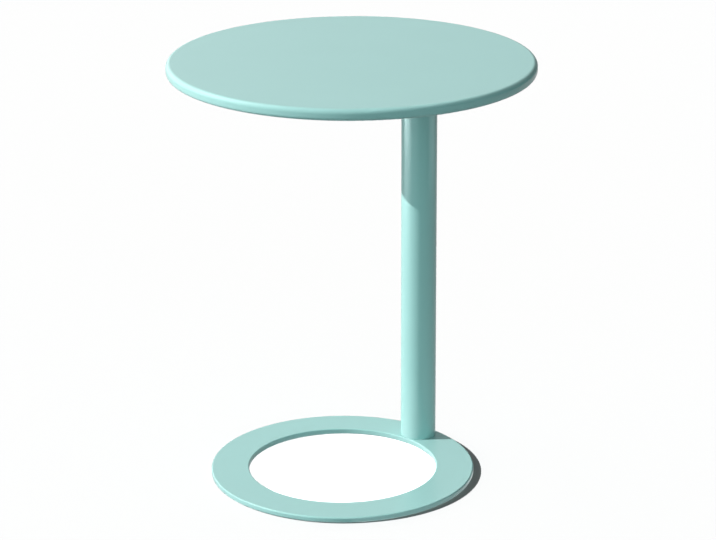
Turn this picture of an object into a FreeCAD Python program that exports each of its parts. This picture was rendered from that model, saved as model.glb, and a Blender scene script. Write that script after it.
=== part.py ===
"""Round steel side table: a pressed pan top on one off-centre column that stands on a flat ring.

Millimetres, +Z up. The origin is on the floor under the middle of the top, and +Y points to the column.
From the floor up: felt pads, the ring, a column bolted to the ring from below, the column's welded flange,
a hat-section stiffener spot-welded inside the top, and the pan top itself.
"""

import FreeCAD
import Part
import math
import os

Vector = FreeCAD.Vector
UP = Vector(0, 0, 1)

# Driving dimensions of the whole table
table_height = 473.0
top_diameter = 400.0
column_inset = 91.5  # from the rim of the top to the column's axis
column_diameter = 40.0
ring_diameter = 294.0
ring_width = 42.0

# Pan top, pressed from sheet, with a rounded edge, a straight rim and a lip turned inwards
top_sheet = 1.5
rim_depth = 12.5
top_edge_radius = 5.0
lip_bend_radius = 4.0
lip_width = 9.0

# Hat-section stiffener inside the top
stiffener_sheet = 2.0
stiffener_depth = 8.0
stiffener_length = 310.0
stiffener_bend_radius = 1.5  # inside of each bend
stiffener_foot_width = 16.0
stiffener_corner_radius = 9.0
stiffener_rim_gap = 4.0  # between its corners and the lip
web_margin = 3.0  # flat web left beside the flange
spot_weld_diameter = 6.0
spot_weld_depth = 0.3
spot_weld_pitch = 56.0

# Column tube, its flange and the weld between them
column_wall = 1.5
column_end_break = 0.4
flange_diameter = 120.0
flange_thickness = 4.0
flange_edge_break = 0.8
flange_bolt_circle = 92.0
flange_bolt_count = 4
weld_leg = 4.0

# Screws, washers and weld nuts that hold the top to the flange
top_screw_diameter = 6.0
top_screw_head_diameter = 10.5
top_screw_head_height = 3.3
top_screw_head_flat_diameter = 5.6
top_screw_dome_share = 0.25  # how far the dome bulges, as a share of the head's height
top_screw_socket = 4.0  # across flats
top_screw_socket_depth = 2.0
top_screw_hole_clearance = 0.5  # all round the shank
washer_diameter = 12.0
washer_thickness = 1.6
washer_bore_clearance = 0.2
weld_nut_width = 10.0  # across flats
weld_nut_height = 5.0
weld_nut_corner_drop = 0.6  # how far its corners fall away at the free end

# Solid plug in the foot of the column, and the screws that come up through the ring
plug_height = 12.0
plug_edge_break = 0.6
base_screw_diameter = 8.0
base_screw_head_diameter = 16.0
base_screw_head_land = 0.3  # straight rim of the countersunk head
base_screw_spacing = 20.0
base_screw_engagement = 9.0
base_screw_socket = 5.0
base_screw_socket_depth = 2.7
base_screw_hole_clearance = 0.25
base_screw_recess = 0.3  # head below the face of the ring
countersink_clearance = 0.1

# Shared by all screws and by all curved faces that are threaded, pressed or welded together
screw_tip_break = 0.8
fit_clearance = 0.05

# Ring and the pads it stands on
ring_thickness = 6.0
ring_edge_radius = 1.3
pad_diameter = 22.0
pad_thickness = 1.0
pad_edge_break = 0.3
pad_count = 6

# One length that cuts run past the faces they open
overrun = 1.0

# Two lengths closer than this count as the same
same_length = 1e-7

# Heights and places that follow from the sizes above
top_radius = top_diameter / 2
column_radius = column_diameter / 2
column_bore_radius = column_radius - column_wall
ring_outer_radius = ring_diameter / 2
ring_inner_radius = ring_outer_radius - ring_width
column_y = top_radius - column_inset
ring_centre_y = column_y - (ring_outer_radius + ring_inner_radius) / 2

ring_bottom_z = pad_thickness
ring_top_z = ring_bottom_z + ring_thickness
sheet_underside_z = table_height - top_sheet
rim_bottom_z = table_height - rim_depth
web_bottom_z = sheet_underside_z - stiffener_depth
web_top_z = web_bottom_z + stiffener_sheet
flange_bottom_z = web_bottom_z - flange_thickness

lip_inner_radius = top_radius - lip_width
web_half_width = flange_diameter / 2 + web_margin
stiffener_half_width = web_half_width + stiffener_sheet + stiffener_foot_width
stiffener_reach = lip_inner_radius - stiffener_rim_gap
stiffener_back_y = math.sqrt(stiffener_reach**2 - stiffener_half_width**2)
stiffener_front_y = stiffener_back_y - stiffener_length


def polar(centre_y, radius, degrees):
    """X and Y of a point on a circle about (0, centre_y)."""
    angle = math.radians(degrees)
    return radius * math.cos(angle), centre_y + radius * math.sin(angle)


def corner_arc(centre_r, centre_z, radius, start, end):
    """Arc in the R-Z half plane about (centre_r, centre_z), from one angle to another in degrees."""

    def point(degrees):
        angle = math.radians(degrees)
        return Vector(centre_r + radius * math.cos(angle), 0, centre_z + radius * math.sin(angle))

    return Part.Arc(point(start), point((start + end) / 2), point(end)).toShape()


def turned(edges_and_points):
    """Solid of revolution about Z. The outline is a closed run of (r, z) points and ready-made arcs."""
    edges = []
    first = last = None
    for item in edges_and_points:
        if isinstance(item, tuple):
            begin = finish = Vector(item[0], 0, item[1])
        else:
            begin, finish = item.valueAt(item.FirstParameter), item.valueAt(item.LastParameter)
        if last is not None and last.distanceToPoint(begin) > same_length:
            edges.append(Part.makeLine(last, begin))
        if not isinstance(item, tuple):
            edges.append(item)
        first = begin if first is None else first
        last = finish
    edges.append(Part.makeLine(last, first))
    return Part.Face(Part.Wire(edges)).revolve(Vector(0, 0, 0), UP, 360)


def moved(shape, x, y, z=0):
    """Copy of a shape, shifted."""
    copy = shape.copy()
    copy.translate(Vector(x, y, z))
    return copy


def hexagon(across_flats, height):
    """Six-sided prism standing on the origin."""
    corner = across_flats / math.sqrt(3)
    points = [Vector(*polar(0, corner, 60 * n), 0) for n in range(7)]
    return Part.Face(Part.makePolygon(points)).extrude(UP * height)


def flange_bolt_places():
    """X and Y of each screw on the flange's bolt circle, set square to the stiffener."""
    step = 360 / flange_bolt_count
    return [polar(column_y, flange_bolt_circle / 2, step * (n + 0.5)) for n in range(flange_bolt_count)]


def base_screw_places():
    """X and Y of the two screws under the column, side by side along the ring."""
    return [(side * base_screw_spacing / 2, column_y) for side in (-1, 1)]


def drilled(shape, places, radius, bottom_z, top_z):
    """Shape with a round hole through it at each place."""
    height = top_z - bottom_z + 2 * overrun
    for x, y in places:
        shape = shape.cut(Part.makeCylinder(radius, height, Vector(x, y, bottom_z - overrun)))
    return shape


def table_top():
    """Pressed pan: flat top, rounded edge, straight rim and a flat lip turned inwards."""
    edge_centre = top_radius - top_edge_radius
    edge_centre_z = table_height - top_edge_radius
    bend_centre = top_radius - lip_bend_radius
    bend_centre_z = rim_bottom_z + lip_bend_radius
    return turned(
        [
            (0, table_height),
            corner_arc(edge_centre, edge_centre_z, top_edge_radius, 90, 0),
            corner_arc(bend_centre, bend_centre_z, lip_bend_radius, 0, -90),
            (lip_inner_radius, rim_bottom_z),
            (lip_inner_radius, rim_bottom_z + top_sheet),
            corner_arc(bend_centre, bend_centre_z, lip_bend_radius - top_sheet, -90, 0),
            corner_arc(edge_centre, edge_centre_z, top_edge_radius - top_sheet, 0, 90),
            (0, sheet_underside_z),
        ]
    )


def top_stiffener():
    """Folded hat section along Y: two feet against the top sheet, and a web below them for the flange."""
    outline = [
        (stiffener_half_width, sheet_underside_z),
        (web_half_width, sheet_underside_z),
        (web_half_width, web_top_z),
        (-web_half_width, web_top_z),
        (-web_half_width, sheet_underside_z),
        (-stiffener_half_width, sheet_underside_z),
        (-stiffener_half_width, sheet_underside_z - stiffener_sheet),
        (-web_half_width - stiffener_sheet, sheet_underside_z - stiffener_sheet),
        (-web_half_width - stiffener_sheet, web_bottom_z),
        (web_half_width + stiffener_sheet, web_bottom_z),
        (web_half_width + stiffener_sheet, sheet_underside_z - stiffener_sheet),
        (stiffener_half_width, sheet_underside_z - stiffener_sheet),
    ]
    points = [Vector(x, stiffener_front_y, z) for x, z in outline]
    hat = Part.Face(Part.makePolygon(points + points[:1])).extrude(Vector(0, stiffener_length, 0))
    outside_radius = stiffener_bend_radius + stiffener_sheet
    for inner_corner, radius in ((True, stiffener_bend_radius), (False, outside_radius)):
        hat = hat.makeFillet(radius, bend_edges(hat, inner_corner))
    hat = hat.common(stiffener_plan())
    hat = drilled(
        hat,
        flange_bolt_places(),
        top_screw_diameter / 2 + top_screw_hole_clearance,
        web_bottom_z,
        web_top_z,
    )
    return hat.cut(Part.makeCompound(spot_weld_dimples()))


def bend_edges(hat, inner):
    """The four long edges on the inside or the outside of the hat's bends."""
    feet_bottom_z = sheet_underside_z - stiffener_sheet
    inside = [(web_half_width, web_top_z), (web_half_width + stiffener_sheet, feet_bottom_z)]
    outside = [(web_half_width + stiffener_sheet, web_bottom_z), (web_half_width, sheet_underside_z)]
    wanted = inside if inner else outside
    found = []
    for edge in hat.Edges:
        middle = edge.CenterOfMass
        along_y = abs(edge.Length - stiffener_length) < same_length
        if along_y and any(
            abs(abs(middle.x) - x) < same_length and abs(middle.z - z) < same_length for x, z in wanted
        ):
            found.append(edge)
    return found


def stiffener_plan():
    """Block with rounded corners that trims the hat to its plan outline."""
    block = Part.makeBox(
        2 * stiffener_half_width,
        stiffener_length,
        stiffener_depth + 2 * overrun,
        Vector(-stiffener_half_width, stiffener_front_y, web_bottom_z - overrun),
    )
    upright = [e for e in block.Edges if abs(e.tangentAt(e.FirstParameter).z) > 1 - same_length]
    return block.makeFillet(stiffener_corner_radius, upright)


def spot_weld_dimples():
    """Shallow round marks that the welding electrodes leave along both feet."""
    foot_middle = stiffener_half_width - stiffener_foot_width / 2
    foot_bottom_z = sheet_underside_z - stiffener_sheet
    per_foot = int((stiffener_length - 2 * stiffener_corner_radius) / spot_weld_pitch) + 1
    middle_y = (stiffener_front_y + stiffener_back_y) / 2
    first_y = middle_y - spot_weld_pitch * (per_foot - 1) / 2
    return [
        Part.makeCylinder(
            spot_weld_diameter / 2,
            spot_weld_depth + overrun,
            Vector(side * foot_middle, first_y + n * spot_weld_pitch, foot_bottom_z - overrun),
        )
        for side in (-1, 1)
        for n in range(per_foot)
    ]


def weld_nuts():
    """Hexagon nuts welded on the upper face of the stiffener's web, with corners turned down at the top."""
    flat_radius = weld_nut_width / 2
    corner_radius = weld_nut_width / math.sqrt(3)
    blank = turned(
        [
            (0, 0),
            (corner_radius, 0),
            (corner_radius, weld_nut_height - weld_nut_corner_drop),
            (flat_radius, weld_nut_height),
            (0, weld_nut_height),
        ]
    )
    nut = hexagon(weld_nut_width, weld_nut_height).common(blank)
    nut = nut.cut(Part.makeCylinder(top_screw_diameter / 2 + fit_clearance, weld_nut_height))
    return [moved(nut, x, y, web_top_z) for x, y in flange_bolt_places()]


def flange_washers():
    """Plain washers under the screw heads."""
    bore = top_screw_diameter / 2 + washer_bore_clearance
    washer = Part.makeCylinder(washer_diameter / 2, washer_thickness)
    washer = washer.cut(Part.makeCylinder(bore, washer_thickness))
    return [moved(washer, x, y, flange_bottom_z - washer_thickness) for x, y in flange_bolt_places()]


def flange_screws():
    """Button-head socket screws, driven from below, that end level with the weld nuts."""
    length = washer_thickness + flange_thickness + stiffener_sheet + weld_nut_height
    shank_radius = top_screw_diameter / 2
    head_radius = top_screw_head_diameter / 2
    flat_radius = top_screw_head_flat_diameter / 2
    # the dome is one arc from the head's rim to the flat round its socket
    rim = Vector(head_radius, 0, 0)
    flat = Vector(flat_radius, 0, -top_screw_head_height)
    outward = (rim + flat).normalize()
    bulge = (rim + flat) * 0.5 + outward * top_screw_head_height * top_screw_dome_share
    screw = turned(
        [
            (0, length),
            (shank_radius - screw_tip_break, length),
            (shank_radius, length - screw_tip_break),
            (shank_radius, 0),
            Part.Arc(rim, bulge, flat).toShape(),
            (0, -top_screw_head_height),
        ]
    )
    socket = moved(hexagon(top_screw_socket, top_screw_socket_depth), 0, 0, -top_screw_head_height)
    screw = screw.cut(socket)
    return [moved(screw, x, y, flange_bottom_z - washer_thickness) for x, y in flange_bolt_places()]


def column_flange():
    """Round plate across the top of the column, with a hole for each screw."""
    plate = turned(
        [
            (0, flange_bottom_z),
            (flange_diameter / 2 - flange_edge_break, flange_bottom_z),
            (flange_diameter / 2, flange_bottom_z + flange_edge_break),
            (flange_diameter / 2, web_bottom_z - flange_edge_break),
            (flange_diameter / 2 - flange_edge_break, web_bottom_z),
            (0, web_bottom_z),
        ]
    )
    return drilled(
        moved(plate, 0, column_y),
        flange_bolt_places(),
        top_screw_diameter / 2 + top_screw_hole_clearance,
        flange_bottom_z,
        web_bottom_z,
    )


def flange_weld():
    """Hollow-faced fillet weld round the column, under its flange."""
    seat = column_radius + fit_clearance
    hollow = Vector(seat + weld_leg, 0, flange_bottom_z - weld_leg)
    middle = hollow + Vector(-1, 0, 1).normalize() * weld_leg
    face = Part.Arc(
        Vector(seat + weld_leg, 0, flange_bottom_z), middle, Vector(seat, 0, flange_bottom_z - weld_leg)
    )
    return moved(turned([(seat, flange_bottom_z), face.toShape()]), 0, column_y)


def column_tube():
    """Round tube from the ring to the flange, with its outer edges broken at both ends."""
    tube = turned(
        [
            (column_bore_radius, ring_top_z),
            (column_radius - column_end_break, ring_top_z),
            (column_radius, ring_top_z + column_end_break),
            (column_radius, flange_bottom_z - column_end_break),
            (column_radius - column_end_break, flange_bottom_z),
            (column_bore_radius, flange_bottom_z),
        ]
    )
    return moved(tube, 0, column_y)


def column_plug():
    """Solid slug fixed in the foot of the tube, tapped for the two base screws."""
    radius = column_bore_radius - fit_clearance
    plug = turned(
        [
            (0, ring_top_z),
            (radius, ring_top_z),
            (radius, ring_top_z + plug_height - plug_edge_break),
            (radius - plug_edge_break, ring_top_z + plug_height),
            (0, ring_top_z + plug_height),
        ]
    )
    return drilled(
        moved(plug, 0, column_y),
        base_screw_places(),
        base_screw_diameter / 2 + fit_clearance,
        ring_top_z,
        ring_top_z + plug_height,
    )


def base_screws():
    """Countersunk socket screws, driven up through the ring into the plug."""
    head_z = ring_bottom_z + base_screw_recess
    shank_radius = base_screw_diameter / 2
    head_radius = base_screw_head_diameter / 2
    cone_top_z = head_z + base_screw_head_land + head_radius - shank_radius
    tip_z = ring_top_z + base_screw_engagement
    screw = turned(
        [
            (0, head_z),
            (head_radius, head_z),
            (head_radius, head_z + base_screw_head_land),
            (shank_radius, cone_top_z),
            (shank_radius, tip_z - screw_tip_break),
            (shank_radius - screw_tip_break, tip_z),
            (0, tip_z),
        ]
    )
    screw = screw.cut(moved(hexagon(base_screw_socket, base_screw_socket_depth), 0, 0, head_z))
    return [moved(screw, x, y) for x, y in base_screw_places()]


def base_ring():
    """Flat ring with softened edges and two countersunk holes under the column."""
    edge = ring_edge_radius
    outer = ring_outer_radius - edge
    inner = ring_inner_radius + edge
    ring = turned(
        [
            corner_arc(inner, ring_bottom_z + edge, edge, -90, -180),
            corner_arc(inner, ring_top_z - edge, edge, 180, 90),
            corner_arc(outer, ring_top_z - edge, edge, 90, 0),
            corner_arc(outer, ring_bottom_z + edge, edge, 0, -90),
        ]
    )
    ring = moved(ring, 0, ring_centre_y)
    hole_radius = base_screw_diameter / 2 + base_screw_hole_clearance
    sink_radius = base_screw_head_diameter / 2 + countersink_clearance
    land_z = ring_bottom_z + base_screw_recess + base_screw_head_land
    sink = turned(
        [
            (0, ring_bottom_z - overrun),
            (sink_radius, ring_bottom_z - overrun),
            (sink_radius, land_z),
            (hole_radius, land_z + sink_radius - hole_radius),
            (hole_radius, ring_top_z + overrun),
            (0, ring_top_z + overrun),
        ]
    )
    for x, y in base_screw_places():
        ring = ring.cut(moved(sink, x, y))
    return ring


def floor_pad():
    """Felt disc with its lower edge broken."""
    radius = pad_diameter / 2
    return turned(
        [
            (0, 0),
            (radius - pad_edge_break, 0),
            (radius, pad_edge_break),
            (radius, pad_thickness),
            (0, pad_thickness),
        ]
    )


def floor_pads():
    """Pads spaced evenly round the middle of the ring, none of them under the column's screws."""
    radius = (ring_outer_radius + ring_inner_radius) / 2
    step = 360 / pad_count
    return [moved(floor_pad(), *polar(ring_centre_y, radius, step * n)) for n in range(pad_count)]


def export(name, solids):
    """Writes one node, from one solid or from several alike, and prints its volume."""
    shape = Part.makeCompound(solids) if isinstance(solids, list) else solids
    shape.exportStep(os.path.join("parts", name + ".step"))
    state = "valid" if shape.isValid() else "INVALID"
    print(f"{name}: {len(shape.Solids)} solid(s), {shape.Volume:.0f} mm3, {state}")


def main():
    os.makedirs("parts", exist_ok=True)
    export("table_top", table_top())
    export("top_stiffener", top_stiffener())
    export("weld_nuts", weld_nuts())
    export("flange_washers", flange_washers())
    export("flange_screws", flange_screws())
    export("column_flange", column_flange())
    export("flange_weld", flange_weld())
    export("column_tube", column_tube())
    export("column_plug", column_plug())
    export("base_screws", base_screws())
    export("base_ring", base_ring())
    for number, pad in enumerate(floor_pads(), start=1):
        export(f"floor_pad_{number}", pad)


main()
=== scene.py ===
"""Looks of the round side table: powder-coated steel top, column and ring in one pale aqua finish.

Metres, in the same frame as the solids: the floor is z = 0, +Z is up and +Y points from the middle of the
top to the column. The solids stay in place and get their finish here. The weld bead and the felt pads, whose
forms are too fine for the solids, are built below and replace them.
"""

import bpy
import math
import random
from mathutils import Matrix, Vector


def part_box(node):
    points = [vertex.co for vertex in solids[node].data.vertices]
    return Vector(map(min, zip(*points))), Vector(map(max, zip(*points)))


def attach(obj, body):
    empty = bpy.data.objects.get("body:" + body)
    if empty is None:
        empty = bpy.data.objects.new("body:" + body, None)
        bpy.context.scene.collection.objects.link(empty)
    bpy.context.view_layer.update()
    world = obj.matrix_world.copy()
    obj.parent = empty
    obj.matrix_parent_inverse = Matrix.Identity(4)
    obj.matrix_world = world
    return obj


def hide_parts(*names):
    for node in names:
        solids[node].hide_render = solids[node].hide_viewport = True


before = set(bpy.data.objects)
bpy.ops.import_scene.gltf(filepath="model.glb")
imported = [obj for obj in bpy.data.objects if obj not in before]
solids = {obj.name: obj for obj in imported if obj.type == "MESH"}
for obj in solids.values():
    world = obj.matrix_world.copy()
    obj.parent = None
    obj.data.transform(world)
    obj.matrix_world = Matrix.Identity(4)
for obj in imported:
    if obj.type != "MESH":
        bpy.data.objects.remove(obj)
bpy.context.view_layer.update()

MM = 0.001

# Powder coat
aqua = (0.29, 0.57, 0.55)
aqua_darker = 0.985  # its drift of colour
aqua_lighter = 1.015
drift_scale = 9.0
drift_detail = 3.0
coat_roughness_low = 0.18
coat_roughness_high = 0.24
dry_from = -0.80  # faces that look down, by the height of their normal, have a thinner, drier coat
dry_to = -0.97
dry_roughness = 0.16  # what it adds
peel_scale = 420.0
peel_detail = 1.5
peel_strength = 0.25
peel_depth = 0.02 * MM
coat_ior = 1.5

# Zinc plating
zinc_tints = ((0.52, 0.53, 0.55), (0.66, 0.65, 0.62))
zinc_cloud_scale = 260.0
zinc_cloud_detail = 4.0
zinc_roughness = 0.34

# Felt
felt_tints = ((0.10, 0.10, 0.10), (0.26, 0.26, 0.25))
felt_grain_scale = 1600.0
felt_grain_detail = 5.0
felt_roughness = 0.95

# Weld bead
weld_scales = 84
steps_per_scale = 6
weld_across = 9  # points across its face
weld_sunk = 0.2 * MM  # how far its back lies in the column
weld_overlap = 0.1 * MM  # how much wider it is for that
weld_gap = 0.02 * MM  # left below the flange
weld_swell = 0.30 * MM
weld_scale_height = 0.16 * MM
weld_scale_bow = 0.8  # how far the middle of a scale runs ahead of its ends, in scales
weld_waves = ((7, 1, 0.12 * MM), (17, 0, 0.08 * MM))  # count round the column, shift, height
tie_in_turn = 0.5  # where the bead meets its own start, in turns
tie_in_width = 0.012
tie_in_height = 0.5 * MM
weld_slant = 0.7  # what stands proud goes out and down by this share, as the face leans at 45 degrees

# Felt pads
pad_count = 6
felt_profile = (  # shares of the radius and of the height, from the middle below to the edge of the top
    (0.0, 0.03), (0.35, 0.03), (0.7, 0.03), (0.93, 0.04),
    (0.975, 0.14), (0.99, 0.4), (0.985, 0.75), (0.96, 0.99),
)
felt_steps = 120
felt_ripples = 9
ripple_counts = (5, 40)  # round the pad
ripple_shifts = (0, 6.3)
ripple_sizes = (0.02, 0.07)  # in millimetres
felt_shrink = 0.1 * MM
felt_edge_power = 8  # keeps the ripples to the edge
felt_lump = 0.02  # share of the height
felt_lump_reach = 0.95  # share of the radius
fibre_count = 170
fibre_root_depth = 0.5 * MM
fibre_root_heights = (0.2, 0.8)  # shares of the height
fibre_tip_heights = (0.1, 0.9)
fibre_lean = 1.2  # radians
fibre_lengths = (0.6, 1.5)  # in millimetres
fibre_sag = 0.12  # in millimetres
fibre_thickness = 0.018 * MM
fibre_taper = 0.7
fibre_sides = 3
fibre_rings = 4

# Camera, as fitted to the outlines in the photograph
image_width_px = 716
focal_length_px = 2783.8
sensor_width_mm = 36.0
camera_place = Vector((2.0069, -2.0974, 1.2324))
camera_azimuth = 43.617  # degrees, 0 looks along +Y
camera_pitch = 18.984  # degrees below the horizon
camera_roll = 0.196  # degrees
clip_start = 0.05
clip_end = 60.0

# Lamps: azimuths are measured from the way the camera looks, in degrees, and grow to the left. The strength
# of a soft lamp is how bright it looks, and 1 is white.
plain_light = (1, 1, 1)
sun_azimuth = 92.5  # the sun stands at the left of the picture
sun_elevation = 33.7
sun_angle = 0.4
sun_strength = 5.2
sun_colour = (1.0, 0.85, 0.84)
window_azimuth = 94  # a large soft window beside it, which also gives the highlights
window_distance = 1.25
window_height = 0.75
window_width = 1.0
window_tall = 0.9
window_aim = 0.3  # height at which it looks
window_strength = 0.55
under_strength = 1.3  # light from straight below, for the underside of the foot
under_angle = 60

# Bright places of the floor: azimuth and distance from the column, width, depth and strength
floor_patch = (90, 0.9, 1.1, 0.9, 1.1)  # the sunlit floor at the left
floor_near = (90, 0.0, 0.7, 0.7, 0.35)  # the floor under the table
glints = {  # further out, and mirrored in the column alone
    "floor_glint": (93, 1.50, 1.25, 0.92, 14.0),
    "floor_glint_near": (142, 1.50, 1.20, 0.92, 1.5),
    "floor_glint_right": (268, 1.50, 1.00, 0.92, 1.4),
}
glint_colour = (0.80, 1.0, 1.0)
floor_lamp_height = 3 * MM
ring_glint_azimuth = 246  # the bright floor beside the ring, mirrored in the ring's side alone
ring_glint_width = 3  # in radii of the ring
ring_glint_strength = 1.1
ring_glint_height = 0.3 * MM

# The room, where 1 is white. Its right side is dark.
overhead = (0.20, 0.175, 0.175)
overhead_mirrored = (0.6, 0.6, 0.6)  # what gloss shows of it instead
wide = 60  # degrees to each side at which a wall has faded away
narrow = 35
whole = 1.0  # how much of a wall gloss mirrors
half = 0.5  # so that the top doesn't glare from the side
little = 0.2
walls = (  # azimuth, width, colour, share mirrored
    (30, wide, (1.10, 1.20, 1.20), whole),  # beyond the table
    (-35, narrow, (0.8, 0.8, 0.8), little),  # beyond it, at the right
    (60, wide, (1.2, 1.0, 0.95), half),  # at the left
    (120, wide, (0.40, 0.40, 0.40), whole),  # round the window
    (180, wide, (1.65, 2.25, 2.25), half),  # behind the camera
    (240, wide, (0.22, 0.22, 0.22), whole),  # at the right
)
low_elevation = 15  # degrees up to which the walls are at full strength
high_elevation = 45  # degrees from which only the light from overhead is left
high_glow_azimuth = 75  # a high bright place at the left, which the gloss of rounded edges mirrors
high_glow_elevation = 42
high_glow = (4.2, 4.2, 4.2)
high_glow_power = 12  # how narrow it is
seen_strength = 1.1  # what the camera sees of the room

# Floor
floor_radius = 12.0
floor_sides = 96
floor_colour = 0.35
floor_mirrored = 0.22  # in the gloss of the table
floor_bounce = 0.02  # what it scatters up onto the table
floor_sun_azimuth = 101.3
floor_sun_strength = 14.0
hole_light = 8.6  # fills the ring's own shadow inside its hole, which the photograph doesn't show
hole_light_height = 2.0
hole_light_spill = 3 * MM
ring_width = 42 * MM


def new_material(name):
    """Material with an empty node tree, its output and a Principled shader."""
    material = bpy.data.materials.new(name)
    material.use_nodes = True
    nodes = material.node_tree.nodes
    nodes.clear()
    output = nodes.new("ShaderNodeOutputMaterial")
    shader = nodes.new("ShaderNodeBsdfPrincipled")
    material.node_tree.links.new(shader.outputs["BSDF"], output.inputs["Surface"])
    return material, nodes, material.node_tree.links, shader


def noise(nodes, links, scale, detail):
    """A noise texture in the piece's own coordinates; gives its value."""
    texture = nodes.new("ShaderNodeTexNoise")
    texture.inputs["Scale"].default_value = scale
    texture.inputs["Detail"].default_value = detail
    links.new(nodes.new("ShaderNodeTexCoord").outputs["Object"], texture.inputs["Vector"])
    return texture.outputs["Fac"]


def base_colour(nodes, links, shader, share, first, second):
    """Gives the shader a colour that goes from the first to the second as the share grows."""
    tint = nodes.new("ShaderNodeMix")
    tint.data_type = "RGBA"
    tint.inputs["A"].default_value = (*first, 1)
    tint.inputs["B"].default_value = (*second, 1)
    links.new(share, tint.inputs["Factor"])
    links.new(tint.outputs["Result"], shader.inputs["Base Color"])


def powder_coat(name, colour):
    """Satin powder coat: fine orange peel and very slight drifts of colour and gloss."""
    material, nodes, links, shader = new_material(name)
    drift = noise(nodes, links, drift_scale, drift_detail)
    darker = [part * aqua_darker for part in colour]
    lighter = [part * aqua_lighter for part in colour]
    base_colour(nodes, links, shader, drift, darker, lighter)

    gloss = nodes.new("ShaderNodeMapRange")
    gloss.inputs["To Min"].default_value = coat_roughness_low
    gloss.inputs["To Max"].default_value = coat_roughness_high
    links.new(drift, gloss.inputs["Value"])
    facing = nodes.new("ShaderNodeSeparateXYZ")
    links.new(nodes.new("ShaderNodeNewGeometry").outputs["Normal"], facing.inputs[0])
    below = nodes.new("ShaderNodeMapRange")
    below.inputs["From Min"].default_value = dry_from
    below.inputs["From Max"].default_value = dry_to
    below.inputs["To Max"].default_value = dry_roughness
    links.new(facing.outputs["Z"], below.inputs["Value"])
    roughness = nodes.new("ShaderNodeMath")
    links.new(gloss.outputs["Result"], roughness.inputs[0])
    links.new(below.outputs["Result"], roughness.inputs[1])
    links.new(roughness.outputs[0], shader.inputs["Roughness"])

    relief = nodes.new("ShaderNodeBump")
    relief.inputs["Strength"].default_value = peel_strength
    relief.inputs["Distance"].default_value = peel_depth
    links.new(noise(nodes, links, peel_scale, peel_detail), relief.inputs["Height"])
    links.new(relief.outputs["Normal"], shader.inputs["Normal"])
    shader.inputs["IOR"].default_value = coat_ior
    return material


def plated_steel():
    """Bright zinc plating with a faint cloudy passivation."""
    material, nodes, links, shader = new_material("zinc_plated")
    cloud = noise(nodes, links, zinc_cloud_scale, zinc_cloud_detail)
    base_colour(nodes, links, shader, cloud, *zinc_tints)
    shader.inputs["Metallic"].default_value = 1.0
    shader.inputs["Roughness"].default_value = zinc_roughness
    return material


def felt():
    """Dense grey wool felt."""
    material, nodes, links, shader = new_material("wool_felt")
    grain = noise(nodes, links, felt_grain_scale, felt_grain_detail)
    base_colour(nodes, links, shader, grain, *felt_tints)
    shader.inputs["Roughness"].default_value = felt_roughness
    return material


def paint(node, material):
    """Gives a solid its finish."""
    piece = solids[node]
    piece.data.materials.clear()
    piece.data.materials.append(material)


coat = powder_coat("aqua_powder_coat", aqua)
zinc = plated_steel()
wool = felt()
for node in ("table_top", "top_stiffener", "column_flange", "column_tube", "base_ring"):
    paint(node, coat)
for node in ("weld_nuts", "flange_washers", "flange_screws", "column_plug", "base_screws"):
    paint(node, zinc)


def add_object(name, data):
    """An object in the scene."""
    piece = bpy.data.objects.new(name, data)
    bpy.context.scene.collection.objects.link(piece)
    return piece


def add_piece(name, points, faces, material, node):
    """A smooth-shaded mesh piece that stands for a CAD node."""
    mesh = bpy.data.meshes.new(name)
    mesh.from_pydata(points, [], faces)
    mesh.shade_smooth()
    mesh.materials.append(material)
    piece = add_object(name, mesh)
    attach(piece, "root")
    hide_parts(node)


def loop_faces(steps, around, closed):
    """Faces between successive rows of points, the last row joined to the first; closed rows are rings."""
    faces = []
    for step in range(steps):
        here = step * around
        there = (step + 1) % steps * around
        for k in range(around if closed else around - 1):
            after = (k + 1) % around
            faces.append((here + k, there + k, there + after, here + after))
    return faces


def radius_of(box):
    """Half the width of a round solid, from its box."""
    low, high = box
    return (high.x - low.x) / 2


def axis_place(box, height):
    """The place at a height on the upright axis of a solid, from its box."""
    low, high = box
    middle = (low + high) / 2
    return Vector((middle.x, middle.y, height))


def weld_bead():
    """Fillet weld round the head of the column, with the scales of a hand-laid bead and its tie-in."""
    low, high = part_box("flange_weld")
    centre = (low + high) / 2
    tall = high.z - low.z
    outer = radius_of((low, high))
    inner = radius_of(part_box("column_tube"))
    leg = outer - inner
    back = inner - weld_sunk
    steps = weld_scales * steps_per_scale
    points = []
    for step in range(steps):
        turn = step / steps
        way = math.tau * turn
        tie_in = math.exp(-((turn - tie_in_turn) / tie_in_width) ** 2)
        wander = sum(size * math.sin(math.tau * count * turn + shift) for count, shift, size in weld_waves)
        for k in range(weld_across):
            t = k / (weld_across - 1)
            swell = math.sin(math.pi * t)
            phase = (turn * weld_scales + weld_scale_bow * swell) % 1.0
            scale = weld_scale_height * (1 - phase) ** 2
            proud = swell * (weld_swell + wander + scale + tie_in_height * tie_in)
            radius = back + (leg + weld_overlap) * t + weld_slant * proud
            height = low.z + (tall - weld_gap) * t - weld_slant * proud * (1 - t)
            points.append((centre.x + radius * math.cos(way), centre.y + radius * math.sin(way), height))
        points.append((centre.x + back * math.cos(way), centre.y + back * math.sin(way), high.z - weld_gap))
    faces = loop_faces(steps, weld_across + 1, closed=True)
    add_piece("weld_bead", points, faces, coat, "flange_weld")


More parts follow.
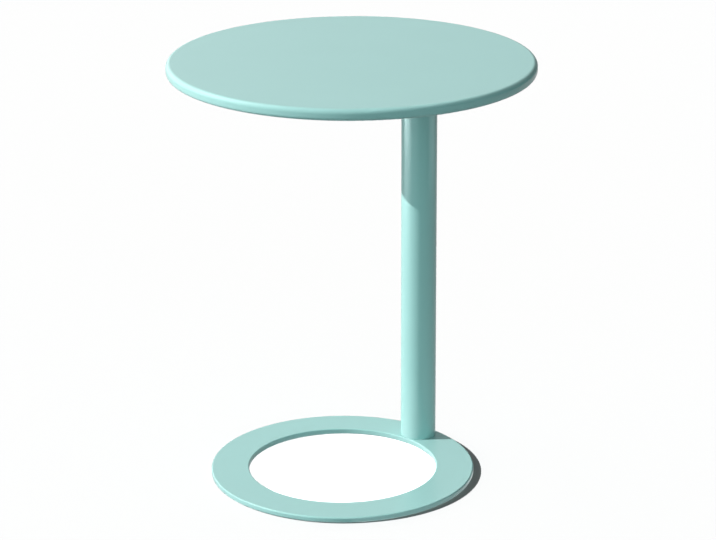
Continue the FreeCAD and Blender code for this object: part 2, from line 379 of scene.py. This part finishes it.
def add_fibre(points, faces, root, tip, sag):
    """A short, tapering wool fibre between two points."""
    first = len(points)
    along = (tip - root).normalized()
    side = along.orthogonal().normalized()
    other = along.cross(side)
    for ring in range(fibre_rings):
        t = ring / (fibre_rings - 1)
        middle = root.lerp(tip, t) + side * sag * math.sin(math.pi * t)
        size = fibre_thickness * (1 - fibre_taper * t)
        for corner in range(fibre_sides):
            way = math.tau * corner / fibre_sides
            points.append(tuple(middle + side * size * math.cos(way) + other * size * math.sin(way)))
    for ring in range(fibre_rings - 1):
        here = first + ring * fibre_sides
        there = here + fibre_sides
        for corner in range(fibre_sides):
            after = (corner + 1) % fibre_sides
            faces.append((here + corner, here + after, there + after, there + corner))


def felt_pad(node, seed):
    """A cut disc of felt: soft edges, an uneven rim and loose fibres round its side."""
    chance = random.Random(seed)
    low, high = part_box(node)
    centre = (low + high) / 2
    radius = radius_of((low, high))
    tall = high.z - low.z
    ripples = []
    for _ in range(felt_ripples):
        count = chance.uniform(*ripple_counts) // 1
        shift = chance.uniform(*ripple_shifts)
        ripples.append((count, shift, chance.uniform(*ripple_sizes) * MM))
    points = []
    for step in range(felt_steps):
        way = math.tau * step / felt_steps
        uneven = sum(size * math.sin(count * way + shift) for count, shift, size in ripples)
        for share, rise in felt_profile:
            reach = radius * share + (uneven - felt_shrink) * share ** felt_edge_power
            height = low.z + tall * rise
            if 0 < share < felt_lump_reach:
                height += chance.uniform(-felt_lump, felt_lump) * tall
            points.append((centre.x + reach * math.cos(way), centre.y + reach * math.sin(way), height))
    around = len(felt_profile)
    faces = loop_faces(felt_steps, around, closed=False)
    faces.append([step * around + around - 1 for step in range(felt_steps)])
    for _ in range(fibre_count):
        way = chance.uniform(0, math.tau)
        root = centre + Vector((math.cos(way), math.sin(way), 0)) * (radius - fibre_root_depth)
        root.z = low.z + tall * chance.uniform(*fibre_root_heights)
        way += chance.uniform(-fibre_lean, fibre_lean)
        run = Vector((math.cos(way), math.sin(way), 0)) * chance.uniform(*fibre_lengths) * MM
        tip = root + run
        tip.z = low.z + tall * chance.uniform(*fibre_tip_heights)
        add_fibre(points, faces, root, tip, chance.uniform(-fibre_sag, fibre_sag) * MM)
    add_piece(f"felt_{node}", points, faces, wool, node)


weld_bead()
for number in range(1, pad_count + 1):
    felt_pad(f"floor_pad_{number}", number)


def add_math(nodes, links, operation, first, second=0.0):
    """A math node with values or links as inputs; gives its output."""
    node = nodes.new("ShaderNodeMath")
    node.operation = operation
    for socket, value in zip(node.inputs, (first, second)):
        if isinstance(value, (int, float)):
            socket.default_value = value
        else:
            links.new(value, socket)
    return node.outputs[0]


def mix_shaders(nodes, links, share, first, second):
    """Mixes two shaders, the second by the share; gives the result."""
    mix = nodes.new("ShaderNodeMixShader")
    links.new(share, mix.inputs["Fac"])
    links.new(first, mix.inputs[1])
    links.new(second, mix.inputs[2])
    return mix.outputs["Shader"]


def seen_directly(nodes, links, path):
    """1 where the camera sees something itself or through glass, otherwise 0."""
    seen = path.outputs["Is Camera Ray"]
    through_glass = path.outputs["Is Transmission Ray"]
    return add_math(nodes, links, "MAXIMUM", seen, through_glass)


def grey(nodes, level):
    """A plain matt grey; gives its shader."""
    face = nodes.new("ShaderNodeBsdfDiffuse")
    face.inputs["Color"].default_value = (level, level, level, 1)
    return face.outputs["BSDF"]


def make_floor():
    """Pale round floor. It looks white, but scatters little light up, and from below it hides nothing."""
    mesh = bpy.data.meshes.new("floor")
    rim = []
    for side in range(floor_sides):
        way = math.tau * side / floor_sides
        rim.append((floor_radius * math.cos(way), floor_radius * math.sin(way), 0))
    mesh.from_pydata(rim, [], [list(range(floor_sides))])
    floor = add_object("floor", mesh)
    material = bpy.data.materials.new("pale_floor")
    material.use_nodes = True
    nodes = material.node_tree.nodes
    links = material.node_tree.links
    nodes.clear()
    output = nodes.new("ShaderNodeOutputMaterial")
    path = nodes.new("ShaderNodeLightPath")
    mirrored = path.outputs["Is Glossy Ray"]
    direct = seen_directly(nodes, links, path)
    surface = mix_shaders(nodes, links, mirrored, grey(nodes, floor_bounce), grey(nodes, floor_mirrored))
    surface = mix_shaders(nodes, links, direct, surface, grey(nodes, floor_colour))
    underneath = nodes.new("ShaderNodeNewGeometry").outputs["Backfacing"]
    clear = nodes.new("ShaderNodeBsdfTransparent").outputs["BSDF"]
    links.new(mix_shaders(nodes, links, underneath, surface, clear), output.inputs["Surface"])
    mesh.materials.append(material)
    return floor


def direction(azimuth, elevation):
    """Unit vector from the table to a place at an azimuth left of the camera's view and an elevation."""
    turn = math.radians(90 + camera_azimuth + azimuth)
    rise = math.radians(elevation)
    return Vector((math.cos(turn) * math.cos(rise), math.sin(turn) * math.cos(rise), math.sin(rise)))


def add_part(nodes, links, total, share, colour):
    """Adds share times colour to a running total."""
    scaled = nodes.new("ShaderNodeVectorMath")
    scaled.operation = "SCALE"
    scaled.inputs[0].default_value = colour
    links.new(share, scaled.inputs["Scale"])
    if total is None:
        return scaled.outputs["Vector"]
    added = nodes.new("ShaderNodeVectorMath")
    added.operation = "ADD"
    links.new(total, added.inputs[0])
    links.new(scaled.outputs["Vector"], added.inputs[1])
    return added.outputs["Vector"]


def along(nodes, links, heading, axis):
    """How far a heading goes along an axis."""
    product = nodes.new("ShaderNodeVectorMath")
    product.operation = "DOT_PRODUCT"
    links.new(heading, product.inputs[0])
    product.inputs[1].default_value = axis
    return product.outputs["Value"]


def sector(nodes, links, heading, azimuth, half_width):
    """1 in the middle of a sector of the room, fading to 0 at its two sides as a squared cosine does."""
    ahead = along(nodes, links, heading, direction(azimuth, 0))
    aside = along(nodes, links, heading, direction(azimuth + 90, 0))
    angle = add_math(nodes, links, "ARCTAN2", aside, ahead)
    size = add_math(nodes, links, "ABSOLUTE", angle)
    scaled = add_math(nodes, links, "MULTIPLY", size, 90 / half_width)
    quarter = add_math(nodes, links, "MINIMUM", scaled, math.pi / 2)
    return add_math(nodes, links, "POWER", add_math(nodes, links, "COSINE", quarter), 2.0)


def make_world():
    """The room: soft walls, a ceiling and, in gloss alone, a high bright place. The camera sees white."""
    world = bpy.data.worlds.new("studio")
    bpy.context.scene.world = world
    world.use_nodes = True
    nodes = world.node_tree.nodes
    links = world.node_tree.links
    nodes.clear()

    def times(first, second):
        """Product of two values or links."""
        return add_math(nodes, links, "MULTIPLY", first, second)

    output = nodes.new("ShaderNodeOutputWorld")
    heading = nodes.new("ShaderNodeTexCoord").outputs["Generated"]
    split = nodes.new("ShaderNodeSeparateXYZ")
    links.new(heading, split.inputs[0])
    rise = nodes.new("ShaderNodeMapRange")
    rise.inputs["From Min"].default_value = math.sin(math.radians(low_elevation))
    rise.inputs["From Max"].default_value = math.sin(math.radians(high_elevation))
    links.new(split.outputs["Z"], rise.inputs["Value"])
    high = rise.outputs["Result"]
    low = add_math(nodes, links, "SUBTRACT", 1.0, high)
    path = nodes.new("ShaderNodeLightPath")
    glossy = path.outputs["Is Glossy Ray"]
    matt = add_math(nodes, links, "SUBTRACT", 1.0, glossy)

    total = add_part(nodes, links, None, times(high, matt), overhead)
    total = add_part(nodes, links, total, times(high, glossy), overhead_mirrored)
    for azimuth, half_width, colour, mirrored in walls:
        share = sector(nodes, links, heading, azimuth, half_width)
        level = add_math(nodes, links, "ADD", matt, times(glossy, mirrored))
        total = add_part(nodes, links, total, times(share, times(low, level)), colour)
    towards = along(nodes, links, heading, direction(high_glow_azimuth, high_glow_elevation))
    lobe = add_math(nodes, links, "POWER", add_math(nodes, links, "MAXIMUM", towards), high_glow_power)
    total = add_part(nodes, links, total, times(lobe, glossy), high_glow)

    lighting = nodes.new("ShaderNodeBackground")
    links.new(total, lighting.inputs["Color"])
    seen = nodes.new("ShaderNodeBackground")
    seen.inputs["Color"].default_value = (1, 1, 1, 1)
    seen.inputs["Strength"].default_value = seen_strength
    direct = seen_directly(nodes, links, path)
    room = mix_shaders(nodes, links, direct, lighting.outputs["Background"], seen.outputs["Background"])
    links.new(room, output.inputs["Surface"])


def place_lamp(name, lamp, place, facing):
    """Adds a lamp at a place, turned by a quaternion."""
    piece = add_object(name, lamp)
    piece.location = place
    piece.rotation_mode = "QUATERNION"
    piece.rotation_quaternion = facing
    return piece


def aim(place, target):
    """The turn of a lamp that shines from a place to a target."""
    return (target - place).to_track_quat("-Z", "Y")


def area_lamp(name, size_x, size_y, strength):
    """A rectangular soft lamp."""
    lamp = bpy.data.lights.new(name, "AREA")
    lamp.shape = "RECTANGLE"
    lamp.size = size_x
    lamp.size_y = size_y
    lamp.energy = strength * math.pi * size_x * size_y
    return lamp


def light_only(lamp, lit, shading=None):
    """The lamp lights only some pieces, and, where shading is given, only some pieces cast its shadows."""
    receivers = bpy.data.collections.new(lamp.name + "_lights")
    for piece in lit:
        receivers.objects.link(piece)
    lamp.light_linking.receiver_collection = receivers
    if shading is not None:
        blockers = bpy.data.collections.new(lamp.name + "_shadows")
        for piece in shading:
            blockers.objects.link(piece)
        lamp.light_linking.blocker_collection = blockers


def sun(name, azimuth, elevation, strength, angle, colour):
    """A sun lamp at an azimuth left of the camera's view and an elevation."""
    lamp = bpy.data.lights.new(name, "SUN")
    lamp.energy = strength
    lamp.angle = math.radians(angle)
    lamp.color = colour
    place = direction(azimuth, elevation)
    return place_lamp(name, lamp, place, aim(place, Vector((0, 0, 0))))


def floor_lamp(name, middle, azimuth, distance, width, depth, strength, lit):
    """Light from a bright part of the floor: a soft lamp that lies on it, and shines up at some pieces."""
    way = direction(azimuth, 0)
    turn = Matrix.Rotation(math.atan2(way.y, way.x), 4, "Z")
    facing = (turn @ Matrix.Rotation(math.pi, 4, "X")).to_quaternion()
    piece = place_lamp(name, area_lamp(name, depth, width, strength), middle + way * distance, facing)
    piece.visible_camera = False
    light_only(piece, lit)
    return piece


def make_window(table):
    """The large soft window at the left."""
    lamp = area_lamp("window", window_width, window_tall, window_strength)
    place = direction(window_azimuth, 0) * window_distance + Vector((0, 0, window_height))
    window = place_lamp("window", lamp, place, aim(place, Vector((0, 0, window_aim))))
    light_only(window, table)


def make_floor_lights(table):
    """The light of the bright floor on the table, and its reflections in the column and in the ring."""
    foot = axis_place(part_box("column_tube"), floor_lamp_height)
    above = [piece for piece in table if piece.name != "base_ring"]
    patch = floor_lamp("floor_patch", foot, *floor_patch, table)
    patch.visible_glossy = False
    near = floor_lamp("floor_near", foot, *floor_near, above)
    near.visible_glossy = False
    for name, measures in glints.items():
        glint = floor_lamp(name, foot, *measures, [solids["column_tube"]])
        glint.visible_diffuse = False
        glint.data.color = glint_colour
    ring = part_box("base_ring")
    radius = radius_of(ring)
    measures = (ring_glint_azimuth, radius, ring_glint_width * radius, radius, ring_glint_strength)
    glint = floor_lamp("ring_glint", axis_place(ring, ring_glint_height), *measures, [solids["base_ring"]])
    glint.visible_diffuse = False


def make_hole_light(floor):
    """A narrow spot from above that lights just the floor inside the ring."""
    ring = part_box("base_ring")
    radius = radius_of(ring) - ring_width + hole_light_spill
    lamp = bpy.data.lights.new("hole_light", "SPOT")
    lamp.energy = hole_light * hole_light_height * hole_light_height * 4 * math.pi
    lamp.spot_size = 2 * math.atan(radius / hole_light_height)
    lamp.spot_blend = 0.0
    lamp.shadow_soft_size = 0.0
    place = axis_place(ring, hole_light_height)
    piece = place_lamp("hole_light", lamp, place, aim(place, axis_place(ring, 0)))
    light_only(piece, [floor], [floor])


def make_lights(floor):
    """All the lamps. The floor has a sun of its own, so that only the foot of the table shades it."""
    table = [piece for piece in bpy.data.objects if piece.type == "MESH" and piece != floor]
    key = sun("sun", sun_azimuth, sun_elevation, sun_strength, sun_angle, sun_colour)
    key.visible_glossy = False
    light_only(key, table)
    make_window(table)
    make_floor_lights(table)
    low = [piece for piece in table if piece.name.startswith("felt_")] + [solids["base_ring"]]
    ground = sun("floor_sun", floor_sun_azimuth, sun_elevation, floor_sun_strength, sun_angle, plain_light)
    light_only(ground, [floor], low)
    foot = low + [solids["base_screws"], solids["column_plug"]]
    light_only(sun("under_sun", 0, -90, under_strength, under_angle, plain_light), foot, foot)
    make_hole_light(floor)


def make_camera():
    """Camera at the photograph's place and angle."""
    lens = bpy.data.cameras.new("camera")
    lens.sensor_width = sensor_width_mm
    lens.lens = focal_length_px / image_width_px * sensor_width_mm
    lens.clip_start = clip_start
    lens.clip_end = clip_end
    camera = add_object("camera", lens)
    turn = Matrix.Rotation(math.radians(camera_azimuth), 4, "Z")
    tilt = Matrix.Rotation(math.radians(90 - camera_pitch), 4, "X")
    roll = Matrix.Rotation(math.radians(-camera_roll), 4, "Z")
    camera.matrix_world = Matrix.Translation(camera_place) @ turn @ tilt @ roll
    bpy.context.scene.camera = camera


make_camera()
floor = make_floor()
make_world()
make_lights(floor)
bpy.context.scene.view_settings.view_transform = "Standard"
